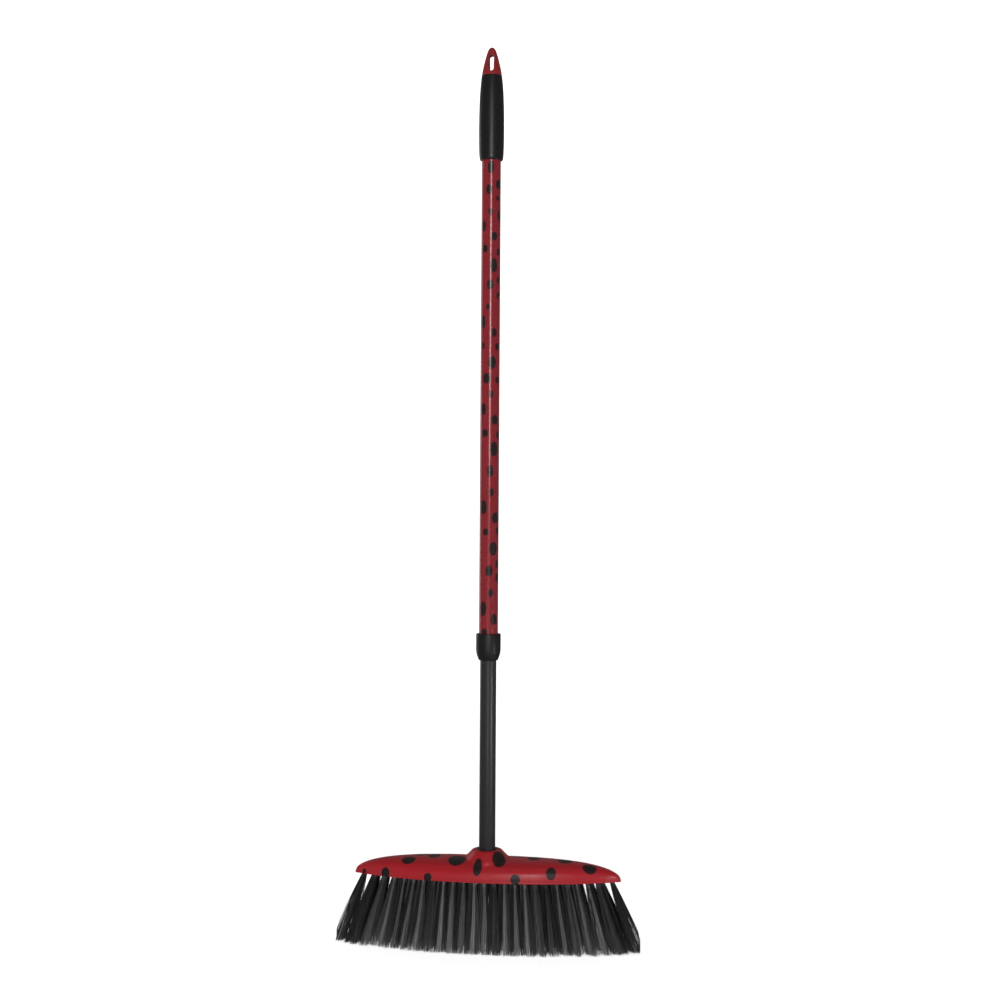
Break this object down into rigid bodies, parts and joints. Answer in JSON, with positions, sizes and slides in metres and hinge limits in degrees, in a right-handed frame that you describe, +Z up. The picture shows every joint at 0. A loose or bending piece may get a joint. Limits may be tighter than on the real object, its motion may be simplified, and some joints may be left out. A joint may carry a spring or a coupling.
{
  "type": "upright broom",
  "caption": "Upright broom: lens-shaped head with tufted bristles and a screw-in telescopic handle with a twist lock and a hanging slot.",
  "frame": {"origin": "on the floor under the pole's axis, at the bottom centre of the bounding box", "axes": "+Z up the pole, +X along the head, +Y to the back, so the front faces -Y"},
  "size_m": [0.3488, 0.082, 1.022],
  "materials": {
    "head_red": "satin",
    "block_black": "moulded",
    "staple_wire": "bright",
    "screw_zinc": "zinc plated",
    "bristle_black": "drawn filament",
    "washer_rubber": "matte",
    "ferrule_black": "moulded",
    "tube_black": "satin enamel",
    "lock_nylon": "moulded",
    "stud_steel": "zinc plated",
    "tube_steel": "rolled",
    "film_red": "printed film",
    "collar_black": "moulded",
    "grip_black": "satin",
    "cap_red": "satin"
  },
  "bodies": {
    "head": {"head_cover": "head_red", "tuft_block": "block_black", "tuft_anchors": "staple_wire", "block_screws": "screw_zinc", "front_outer_tufts": "bristle_black", "front_inner_tufts": "bristle_black", "centre_tufts": "bristle_black", "rear_inner_tufts": "bristle_black", "rear_outer_tufts": "bristle_black"},
    "screw_ring": {"socket_washer": "washer_rubber"},
    "lower_pole": {"thread_ferrule": "ferrule_black", "lower_tube": "tube_black", "lock_plug": "lock_nylon", "lock_stud": "stud_steel", "stop_nut": "stud_steel"},
    "lock_sleeve": {"expander_sleeve": "lock_nylon"},
    "lock_cone": {"expander_cone": "lock_nylon"},
    "upper_pole": {"upper_tube": "tube_steel", "printed_wrap": "film_red", "guide_collar": "collar_black", "hand_grip": "grip_black", "hanger_cap": "cap_red"}
  },
  "joints": [
    {"name": "handle_rise", "type": "slide", "parent": "head", "child": "screw_ring", "axis": [0, 0, 1], "range_m": [0, 0.0255]},
    {"name": "handle_screw", "type": "hinge", "parent": "screw_ring", "child": "lower_pole", "pos_m": [0, 0, 0.1], "axis": [0, 0, 1], "range_deg": [0, 1800]},
    {"name": "twist_lock", "type": "hinge", "parent": "lower_pole", "child": "lock_sleeve", "pos_m": [0, 0, 0.63], "axis": [0, 0, 1], "range_deg": [0, 360]},
    {"name": "cone_travel", "type": "slide", "parent": "lock_sleeve", "child": "lock_cone", "axis": [0, 0, 1], "range_m": [0, 0.0021]},
    {"name": "telescope", "type": "slide", "parent": "lock_sleeve", "child": "upper_pole", "axis": [0, 0, 1], "range_m": [-0.205, 0.275]}
  ],
  "couplings": [
    {"joint": "handle_rise", "follows": "handle_screw", "m_per_rad": 0.00080851},
    {"joint": "cone_travel", "follows": "twist_lock", "m_per_rad": 0.00031831}
  ]
}
